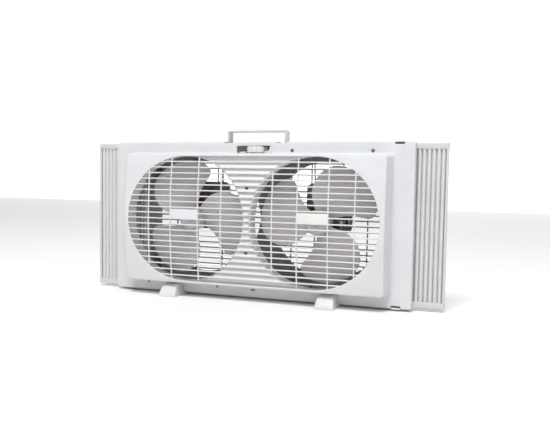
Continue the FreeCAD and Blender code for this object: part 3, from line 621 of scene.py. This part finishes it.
def motor_plates():
    """Round-cornered plates in the rear grille that carry the motors, with two posts each."""
    half = 45.8
    post_x, post_radius, rib = 37.5, 4.5, 0.8
    slot_half, slot_height = 30.0, 2.0
    for name, s in SIDES:
        bm = bmesh.new()
        centre = fan_centre(s)
        x = (centre.x - half, centre.x + half)
        add_plate(bm, rounded_rectangle(x, (MID - 23.8, MID + 71.8), 12.0), 0.3, 5.0)
        # painted shade on the plate's inner faces
        paint_shade_inside(bm, 4.0)
        obj = as_object(f"motor_plate_{name}", bm, REAR_GRILLE, REAR_SHADE)
        cutter = bmesh.new()
        for radius in (8.0, 14.0):
            wide = radius + 1.6
            spin(cutter, ((radius, 62.6), (wide, 62.6), (wide, 65.0), (radius, 65.0)), centre)
        for dz in (30.0, 38.0, 46.0, 54.0):
            add_box(
                cutter,
                (centre.x - slot_half, face_depth(dz) - 1.0, MID + dz),
                (centre.x + slot_half, FACE + 1.0, MID + dz + slot_height),
            )
        carve(obj, as_object("grooves", cutter))
        bevel(obj, 0.4, 2)
        finish_piece(obj, "housing")
        bm = bmesh.new()
        for dx in (-post_x, post_x):
            add_rod(bm, (centre.x + dx, 38.9, MID), post_radius, 21.0, 32)
            for turn in range(4):
                angle = math.radians(45 + 90 * turn)
                cx = centre.x + dx + post_radius * math.cos(angle)
                cz = MID + post_radius * math.sin(angle)
                add_box(bm, (cx - rib, 46, cz - rib), (cx + rib, 59.5, cz + rib))
        # the posts get the same grey: painted shade inside the body
        finish_piece(as_object(f"motor_posts_{name}", bm, INSIDE_SHADE), "housing")


def add_plate(bm, outline, inset, thick):
    """A plate that follows the rear panel's bow, from an outline in x and z."""
    skin(
        bm,
        [
            [bm.verts.new((x, face_depth(z - MID, depth), z)) for x, z in outline]
            for depth in (inset, inset + thick)
        ],
    )


def rear_web():
    """Plate just ahead of the rear slats, with a round opening behind each fan."""
    near, far = 5.0, 7.0
    outer = reach_stadium(OPENING + 0.5)
    inner = [hole_point(x, z, 114.0) for x, z in outer]
    bm = bmesh.new()
    rows = [
        [bm.verts.new((x, face_depth(z, inset), MID + z)) for x, z in points]
        for points, inset in ((outer, near), (outer, far), (inner, far), (inner, near))
    ]
    skin(bm, rows, loop=True)
    # painted shade on the web's inner faces
    paint_shade_inside(bm, 6.0)
    obj = as_object("rear_web", bm, REAR_WEB, REAR_SHADE)
    finish_piece(obj, "housing", angle=30)


def column_walls():
    """Upright walls that part the fans from the columns and anchor the pleats, in a dark grey that
    paints the shade they stand in.
    """
    near, far, front = 241.0, 243.8, 0.2
    for name, s in SIDES:

        def section(dz, s=s):
            back = face_depth(dz, 4.9)
            return ((s * near, front), (s * far, front), (s * far, back), (s * near, back))

        bm = bmesh.new()
        add_bowed_bar(bm, 122.0, 16, section)
        obj = as_object(f"column_wall_{name}", bm, COLUMN_WALL_SHADE)
        bevel(obj, 0.4, 2)
        finish_piece(obj, "housing", angle=30)


MOUTH = 4.0  # how far the shroud's mouths flare out from the openings
SHROUD_THICK = 1.6


def shroud():
    """Plate and sloped strips behind the front slats, open where the two rings stand."""
    half_x, inset = 254.0, 6.5

    def section(dz):
        front = inset - face_depth(dz)
        back = front + SHROUD_THICK
        return ((-half_x, front), (half_x, front), (half_x, back), (-half_x, back))

    bm = bmesh.new()
    add_bowed_bar(bm, 121.8, 24, section)
    plate = as_object("shroud_face", bm, DUCT)
    half, height = 120.0, 8.4
    bm = bmesh.new()
    for row in range(-SLAT_ROWS, SLAT_ROWS):
        low = row * SLAT_PITCH + 1.3
        high = low + height
        face = face_depth(low + height / 2)
        outline = ((low, face - 2.4), (high, face - 6.4), (high, face - 7.6), (low, face - 7.6))
        add_prism(bm, outline, lambda u, v, w: Vector((w - half, -v, MID + u)), 2 * half)
    louvres = as_object("web_louvres", bm, DUCT)
    for obj in (plate, louvres):
        bm = bmesh.new()
        for _, s in SIDES:
            add_rod(bm, (s * FAN_X, -80, MID), OPENING + MOUTH, 80, 180)
        carve(obj, as_object("shroud_bores", bm))
        finish_piece(obj, "housing", ["shroud_plate"], 30)


def shroud_rings():
    """A ring with a bell mouth round each fan, following the panel's bow."""
    back, wall, around_steps = 34.0, 1.4, 180
    for name, s in SIDES:
        bm = bmesh.new()
        rows = []
        for k in range(around_steps):
            turn = 2 * math.pi * k / around_steps
            front = face_depth((OPENING + MOUTH) * math.sin(turn)) - 5.0
            profile = []
            for degrees in range(0, 91, 15):
                lean = math.radians(degrees)
                out = OPENING + MOUTH * (1 - math.sin(lean))
                profile.append((out, front - MOUTH * (1 - math.cos(lean))))
            profile += [
                (OPENING, back),
                (OPENING + wall, back),
                (OPENING + wall, front - MOUTH - 1.5),
                (OPENING + MOUTH + 0.1, front - SHROUD_THICK),
            ]
            rows.append([bm.verts.new(around(fan_centre(s), r, turn, -y)) for r, y in profile])
        skin(bm, rows, loop=True)
        obj = as_object(f"shroud_ring_{name}", bm, DUCT)
        finish_piece(obj, "housing", ["shroud_plate"], 40)


def hole_point(x, z, hole):
    """The point on the holes' edge that faces (x, z): radially beyond the fans' axes, and
    straight up or down between them, or on the middle line where neither hole is."""
    reach = FAN_X if x > 0 else -FAN_X
    if abs(x) >= FAN_X:
        aim = math.atan2(z, x - reach)
        return reach + hole * math.cos(aim), hole * math.sin(aim)
    dx = x - reach
    if abs(dx) >= hole:
        return x, 0.0
    return x, math.copysign(math.sqrt(hole * hole - dx * dx), z)


front_body()
window_lip()
rear_body()
grille(-1, "front_grille")
grille(1, "rear_grille")
badges()
motor_plates()
rear_web()
column_walls()
shroud()
shroud_rings()

# ---------------------------------------------------------------- latches and trim


def latches():
    """Snap tongues on the right column, top and bottom."""
    for name, low, high in (("top", TOP - 2.1, TOP + 0.9), ("bottom", BOTTOM - 0.9, BOTTOM + 2.1)):
        bm = bmesh.new()
        add_box(bm, (266.5, -20.4, low), (282.5, 0.5, high))
        obj = as_object(f"latch_{name}", bm, WHITE)
        bevel(obj, 0.6, 3)
        finish_piece(obj, "housing")


latches()

# ---------------------------------------------------------------- extenders

REACH = 357.5  # the extenders' outer faces, from the middle
STILE = 4.5


def extender_frames():
    """Two rails that run back into the body, an outer stile and the stile's dark pins."""
    for name, s in SIDES:
        body = f"extender_{name}"
        bm = bmesh.new()
        x = span(s, 205.0, REACH)
        for low, high in ((6.8, 16.8), (291.2, 301.2)):
            add_box(bm, (x[0], -2.5, low), (x[1], 8.5, high))
        obj = as_object(f"extender_rails_{name}", bm, EXTENDER)
        bevel(obj, 0.8, 3)
        finish_piece(obj, body, [f"extender_frame_{name}"])
        bm = bmesh.new()
        x = span(s, REACH - STILE, REACH)
        add_box(bm, (x[0], -2.4, 7.0), (x[1], 8.4, 301.0))
        obj = as_object(f"extender_stile_{name}", bm, EXTENDER)
        bevel(obj, 1.2, 4)
        finish_piece(obj, body)
        bm = bmesh.new()
        x = span(s, REACH - 3.4, REACH - 0.9)
        pin_half = 1.2
        for z in (9.5, 298.5):
            add_box(bm, (x[0], -2.49, z - pin_half), (x[1], -1.5, z + pin_half))
        obj = as_object(f"extender_pins_{name}", bm, DARK)
        finish_piece(obj, body)


def pleats():
    """Bellows with rounded folds, anchored in the column and on the stile."""
    start, end = 244.5, REACH - STILE - 0.4
    folds, steps = 13, 14
    mid, swing, softness = 1.9, 3.3, 0.62
    sheet = 0.35  # half the thickness
    low, high, levels = 17.3, 290.7, 3
    notch_end, notch = 280.0, 3.2  # shorter at both edges up to this x, beside the ledges
    total = folds * steps
    for name, s in SIDES:
        bm = bmesh.new()
        rows = []
        for i in range(total + 1):
            x = start + (end - start) * i / total
            crest = abs(math.sin(math.pi * i / steps)) ** softness
            y = mid + swing * (1 - 2 * crest)
            margin = notch if x < notch_end else 0.0
            floor = low + margin
            tall = high - low - 2 * margin
            heights = [floor + tall * k / levels for k in range(levels + 1)]
            front = [bm.verts.new((s * x, y - sheet, z)) for z in heights]
            back = [bm.verts.new((s * x, y + sheet, z)) for z in heights]
            rows.append(front + back[::-1])
        skin(bm, rows)
        obj = as_object(f"pleats_{name}", bm, PLEAT)
        finish_piece(obj, None, [f"accordion_{name}"], 60)
        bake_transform(obj)


extender_frames()
pleats()

# ---------------------------------------------------------------- handle and control


def handle():
    """Squared strap with rounded corners and a barb low on each leg."""
    outer, thick, bar = 61.0, 5.0, 4.4
    top, bottom = 326.4, 282.0
    corner, inner_corner = 3.0, 1.0
    inner_x = outer - thick - inner_corner
    inner_z = top - bar - inner_corner
    outline = [(-outer, bottom)]
    outline += arc_points(-outer + corner, top - corner, corner, 180, 90)
    outline += arc_points(outer - corner, top - corner, corner, 90, 0)
    outline += [(outer, bottom), (outer - thick, bottom)]
    outline += arc_points(inner_x, inner_z, inner_corner, 0, 90)
    outline += arc_points(-inner_x, inner_z, inner_corner, 90, 180)
    outline += [(-outer + thick, bottom)]
    bm = bmesh.new()
    add_prism(bm, outline, lambda u, v, w: Vector((u, -10.0 + w, v)), 20.0)
    obj = as_object("carry_strap", bm, HANDLE)
    bevel(obj, 0.9, 4, 50)
    finish_piece(obj, "carry_handle", ["handle"])
    bm = bmesh.new()
    for s in (-1, 1):
        x = span(s, 60.5, 62.9)
        add_box(bm, (x[0], -8, 292.3), (x[1], 8, 298.1))
    obj = as_object("strap_barbs", bm, HANDLE)
    bevel(obj, 0.6, 3)
    finish_piece(obj, "carry_handle")


def thumbwheel():
    """Switch wheel with eight finger scallops."""
    radius, scallop = 20.9, 6.0
    scallops, scallop_at = 8, 24.9  # count, and distance of their centres from the axis
    first = math.atan2(-22.5, 10.5)
    steps = 240
    outline = []
    for i in range(steps):
        angle = 2 * math.pi * i / steps
        aim = Vector((math.cos(angle), math.sin(angle)))
        reach = radius
        for k in range(scallops):
            turn = first + 2 * math.pi * k / scallops
            centre = scallop_at * Vector((math.cos(turn), math.sin(turn)))
            if (radius * aim - centre).length < scallop:
                along = centre.dot(aim)
                across = scallop_at**2 - along**2
                reach = min(reach, along - math.sqrt(max(scallop**2 - across, 0.0)))
        outline.append((reach * aim.x, reach * aim.y))
    bm = bmesh.new()
    add_prism(bm, outline, lambda u, v, w: Vector((u, -4.0 + v, 282.9 + w)), 11.8)
    obj = as_object("speed_wheel", bm, WHEEL)
    bevel(obj, 0.8, 3, 60)
    finish_piece(obj, "knob", ["thumbwheel"])


handle()
thumbwheel()

# ---------------------------------------------------------------- fans

BLADE_OUTLINE = (
    # radius, then the angles of the trailing and of the leading edge, in degrees
    (21.5, -37.0, 46.5),
    (30.0, -38.0, 48.5),
    (38.0, -39.0, 49.0),
    (45.0, -39.5, 49.0),
    (52.0, -40.5, 48.5),
    (60.0, -42.5, 47.0),
    (68.0, -45.0, 44.2),
    (76.0, -47.0, 41.0),
    (84.0, -48.8, 37.4),
    (90.0, -49.5, 34.5),
    (96.0, -49.2, 30.5),
    (101.0, -47.5, 27.0),
    (105.0, -44.8, 24.0),
    (108.5, -40.5, 20.5),
    (111.5, -34.5, 16.0),
    (114.0, -27.0, 10.0),
    (115.5, -19.0, 3.5),
)
BLADE_TURNS = {"left": (121.8, 1.8, -118.2), "right": (55.2, 175.2, -64.8)}
BLADE_MIDDLE = -12.6  # depth of a blade at its zero angle
BLADE_RISE = -0.27  # depth per degree across a blade


def blade_row(bm, centre, turn, radius, low, high):
    """Vertices across a blade at one radius, cambered forward."""
    steps = 22
    row = []
    for i in range(steps + 1):
        share = i / steps
        angle = low + (high - low) * share
        camber = 2.0 * math.sin(math.pi * share) * min(radius / 60.0, 1.0)
        depth = BLADE_MIDDLE + BLADE_RISE * angle - camber
        row.append(bm.verts.new(around(centre, radius, math.radians(turn + angle), depth)))
    return row


HUB_PROFILE = (
    # radius, depth
    (3.1, -33.0), (8.0, -33.0), (18.0, -32.8), (21.5, -32.0), (23.4, -30.0), (24.0, -27.0),
    (24.0, -2.0), (21.5, -2.0), (21.5, -29.0), (7.0, -30.0), (7.0, -3.0), (3.1, -3.0),
)


def fans():
    """Three blades and a cup-shaped hub on each motor."""
    for name, s in SIDES:
        centre = fan_centre(s)
        bm = bmesh.new()
        for turn in BLADE_TURNS[name]:
            rows = [blade_row(bm, centre, turn, *line) for line in BLADE_OUTLINE]
            for row, after in zip(rows, rows[1:]):
                for i in range(len(row) - 1):
                    bm.faces.new((row[i], row[i + 1], after[i + 1], after[i]))
        obj = as_object(f"blades_{name}", bm, BLADE)
        thick = obj.modifiers.new("thick", "SOLIDIFY")
        thick.thickness = 1.7 * MM
        thick.offset = 0.0
        apply_modifiers(obj)
        bevel(obj, 0.6, 3, 50)
        finish_piece(obj, f"fan_{name}", [f"fan_blade_{name}"], 40)
        bm = bmesh.new()
        spin(bm, HUB_PROFILE, centre)
        obj = as_object(f"hub_{name}", bm, BLADE)
        bevel(obj, 0.4, 2, 50)
        finish_piece(obj, f"fan_{name}", [f"fan_blade_{name}"])


fans()

# ---------------------------------------------------------------- feet


TOE_STATIONS = (
    # depth from the middle plane, top height, half width at the base, at the top
    (20.4, 24.4, 18.6, 16.0),
    (33.0, 24.4, 18.4, 15.6),
    (38.5, 24.2, 18.4, 15.6),
    (42.0, 23.2, 18.4, 15.8),
    (46.0, 21.0, 18.4, 16.2),
    (50.5, 17.4, 18.4, 16.8),
    (54.5, 13.2, 18.3, 17.2),
    (58.0, 8.6, 18.2, 17.4),
    (60.4, 4.4, 17.8, 17.0),
    (61.6, 1.4, 16.8, 16.0),
)


def feet():
    """Clip-on feet with rounded toes at the front and the back."""
    for name, x in (("left", -165.0), ("right", 152.0)):
        bm = bmesh.new()
        for side in (-1, 1):
            rows = [
                [
                    bm.verts.new((x + u, side * depth, v))
                    for u, v in rounded_section(base_half, top_half, top)
                ]
                for depth, top, base_half, top_half in TOE_STATIONS
            ]
            skin(bm, rows)
        obj = as_object(f"foot_toes_{name}", bm, FOOT)
        bevel(obj, 0.8, 3, 45)
        finish_piece(obj, "housing", [f"foot_{name}"], 35)
        bm = bmesh.new()
        add_box(bm, (x - 19, -32, 0.0), (x + 19, 32, BOTTOM - 0.1))
        add_box(bm, (x - 8, -4, 2.0), (x + 8, 4, BOTTOM + 2.2))
        obj = as_object(f"foot_base_{name}", bm, FOOT)
        bevel(obj, 1.5, 4)
        finish_piece(obj, "housing")


def rounded_section(base_half, top_half, top):
    """Cross section of a toe: flat underside, straight flanks, well rounded top corners."""
    radius = min(5.0, top * 0.45)
    right = arc_points(top_half - radius, top - radius, radius, 0, 90, 6)
    left = arc_points(-top_half + radius, top - radius, radius, 90, 180, 6)
    return [(-base_half, 0.0), (base_half, 0.0)] + right + left


feet()

# ---------------------------------------------------------------- CAD nodes that stay


def paint(node, mat):
    """Gives a piece that stays as the CAD made it its look."""
    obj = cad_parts[node]
    obj.data.materials.clear()
    obj.data.materials.append(mat)


paint("centre_brace", DUCT)
paint("front_screws", CORNER_SCREW)
# painted shade on the web screws
paint("web_screws", WEB_SCREW_SHADE)
paint("switch_body", DARK)
paint("switch_rotor", DARK)
paint("cord_gland", GLAND)
for lead in ("lead_left", "lead_right", "lead_mains"):
    paint(lead, LEAD)
for name, _ in SIDES:
    paint(f"blade_nut_{name}", ZINC)
    paint(f"motor_shaft_{name}", SHAFT)
    # rotor and stator get the darkened steel: painted shade
    paint(f"motor_rotor_{name}", LAMINATION_SHADE)
    paint(f"motor_stator_{name}", LAMINATION_SHADE)
    paint(f"motor_coil_{name}", TAPE)
    # the brackets get the darkened steel: painted shade
    paint(f"motor_front_bracket_{name}", BRACKET_SHADE)
    paint(f"motor_rear_bracket_{name}", BRACKET_SHADE)
    paint(f"motor_bearings_{name}", BRONZE)
    paint(f"motor_screws_{name}", STEEL)

# ---------------------------------------------------------------- stage


def stage_floor():
    bm = bmesh.new()
    size = 9000.0
    add_box(bm, (-size, -size, -40.0), (size, size, 0.0))
    mat = plastic("floor_pale", (0.88, 0.87, 0.86), rough=0.8, grain=60.0, bump=0.01, tint=0.004)
    as_object("studio_floor", bm, mat)


def backdrop():
    """A softly glowing sheet well behind the fan, so that it is seen against white."""
    bm = bmesh.new()
    half, near, thick, tall = 9000, 4200, 40, 5200.0
    add_box(bm, (-half, near, 0.0), (half, near + thick, tall))
    mat = plastic("backdrop_white", (0.9, 0.9, 0.9), rough=0.9, grain=40.0, bump=0.01, tint=0.004)
    shader = mat.node_tree.nodes["Principled BSDF"]
    shader.inputs["Emission Color"].default_value = (1, 1, 1, 1)
    shader.inputs["Emission Strength"].default_value = 0.75
    as_object("studio_backdrop", bm, mat)


def area_light(name, place, aim, size, power):
    """A white rectangular lamp at place that faces aim."""
    data = bpy.data.lights.new(name, "AREA")
    data.shape = "RECTANGLE"
    data.size, data.size_y = size
    data.energy = power
    obj = bpy.data.objects.new(name, data)
    bpy.context.scene.collection.objects.link(obj)
    obj.location = place
    direction = Vector(aim) - Vector(place)
    obj.rotation_mode = "QUATERNION"
    obj.rotation_quaternion = direction.to_track_quat("-Z", "Y")


def studio():
    """Floor, backdrop, a white world, an overhead key and a weak fill."""
    stage_floor()
    backdrop()
    world = bpy.data.worlds.new("studio")
    bpy.context.scene.world = world
    world.use_nodes = True
    sky = world.node_tree.nodes["Background"]
    sky.inputs["Color"].default_value = (1, 1, 1, 1)
    sky.inputs["Strength"].default_value = 0.46
    area_light("key", (0.3, -1.65, 2.9), (0, 0, 0.15), (1.5, 0.9), 88)
    area_light("fill", (2.4, -2.2, 1.2), (0, 0, 0.15), (1.6, 1.6), 2)
    bpy.context.scene.view_settings.view_transform = "Standard"
    bpy.context.scene.view_settings.look = "None"


def camera():
    """The photograph's station point: right of centre, a little above the middle."""
    data = bpy.data.cameras.new("camera")
    obj = bpy.data.objects.new("camera", data)
    bpy.context.scene.collection.objects.link(obj)
    data.sensor_width = 36.0
    data.lens = 41.81
    place = (0.4415, -1.1596, 0.2332)
    yaw, pitch, roll = (math.radians(a) for a in (19.25, 3.67, 0.92))
    ahead = Vector(
        (-math.sin(yaw) * math.cos(pitch), math.cos(yaw) * math.cos(pitch), -math.sin(pitch))
    )
    right = Vector((math.cos(yaw), math.sin(yaw), 0))
    up = right.cross(ahead)
    tilted_right = right * math.cos(roll) + up * math.sin(roll)
    tilted_up = up * math.cos(roll) - right * math.sin(roll)
    turn = Matrix((tilted_right, tilted_up, -ahead)).transposed()
    obj.matrix_world = Matrix.Translation(place) @ turn.to_4x4()
    bpy.context.scene.camera = obj


studio()
camera()
